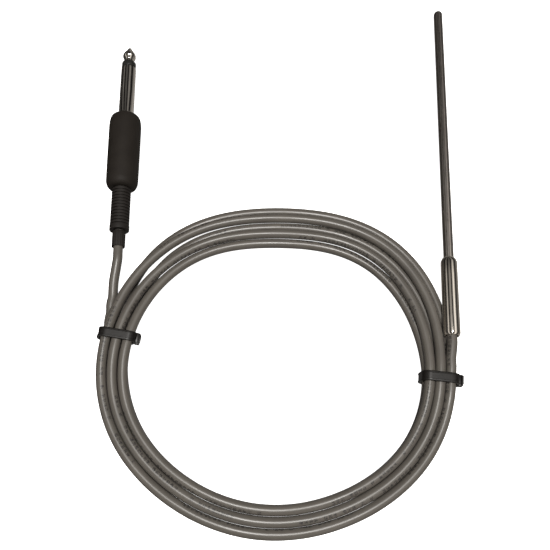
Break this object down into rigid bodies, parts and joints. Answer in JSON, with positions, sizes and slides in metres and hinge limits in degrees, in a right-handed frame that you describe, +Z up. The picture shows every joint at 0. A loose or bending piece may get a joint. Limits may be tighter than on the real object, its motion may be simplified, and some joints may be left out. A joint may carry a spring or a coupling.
{
  "type": "thermocouple",
  "caption": "Thermocouple: thin stainless sheath with a transition sleeve, on a grey lead wound in a tied coil that ends in a two-pole phone plug with a screw-on cover.",
  "frame": {"origin": "on the surface that the object lies on, under the middle of the probe's own box (the sheath, the sleeve and what is in them)", "axes": "+Y roughly along the probe, from the sleeve to the tip; +Z up from the surface; the coil and the plug lie on the -X side"},
  "size_m": [0.1493, 0.2291, 0.0133],
  "materials": {
    "grey_pvc": "satin grey PVC jacket",
    "black_nylon": "satin black nylon",
    "black_plastic": "satin black moulding",
    "nickel_plate": "bright nickel plate",
    "polished_steel": "polished stainless",
    "brushed_steel": "drawn stainless",
    "tinned_brass": "tinned",
    "clear_vinyl": "translucent vinyl",
    "red_fibre": "vulcanised fibre",
    "white_ceramic": "fired ceramic",
    "grey_epoxy": "potting resin",
    "chromel": "drawn alloy wire",
    "alumel": "drawn alloy wire",
    "yellow_core": "PVC core",
    "red_core": "PVC core"
  },
  "bodies": {
    "probe_and_lead": {"sheath_tube": "brushed_steel", "transition_sleeve": "polished_steel", "junction_bead": "tinned_brass", "thermo_wire_positive": "chromel", "thermo_wire_negative": "alumel", "insulator_core": "white_ceramic", "potting": "grey_epoxy", "splice_crimp_positive": "tinned_brass", "splice_crimp_negative": "tinned_brass", "probe_core_positive": "yellow_core", "probe_core_negative": "red_core", "cable_to_plug": "grey_pvc", "cable_coil": "grey_pvc", "cable_to_probe": "grey_pvc", "cable_tie_left": "black_nylon", "cable_tie_right": "black_nylon", "insulating_washer": "red_fibre", "plug_barrel": "nickel_plate", "plug_core_sleeve": "red_core", "plug_core_tip": "yellow_core", "rod_insulator": "clear_vinyl", "rod_rivet": "tinned_brass", "sleeve_lug": "tinned_brass", "solder_joint_sleeve": "tinned_brass", "solder_joint_tip": "tinned_brass", "tip_contact": "nickel_plate", "tip_insulator": "black_plastic", "tip_lug": "tinned_brass"},
    "boot": {"cover_boot": "black_plastic", "boot_collar": "black_plastic"},
    "cover": {"plug_cover": "black_plastic", "cover_liner": "clear_vinyl"}
  },
  "joints": [
    {"name": "cover_travel", "type": "slide", "parent": "probe_and_lead", "child": "boot", "axis": [0.0332, -0.9995, 0], "range_m": [0, 0.0055]},
    {"name": "cover_turn", "type": "hinge", "parent": "boot", "child": "cover", "pos_m": [-0.135, 0.0183, 0.0067], "axis": [0.0332, -0.9995, 0], "range_deg": [0, 2160]}
  ],
  "couplings": [
    {"joint": "cover_travel", "follows": "cover_turn", "m_per_rad": 0.00014324}
  ]
}
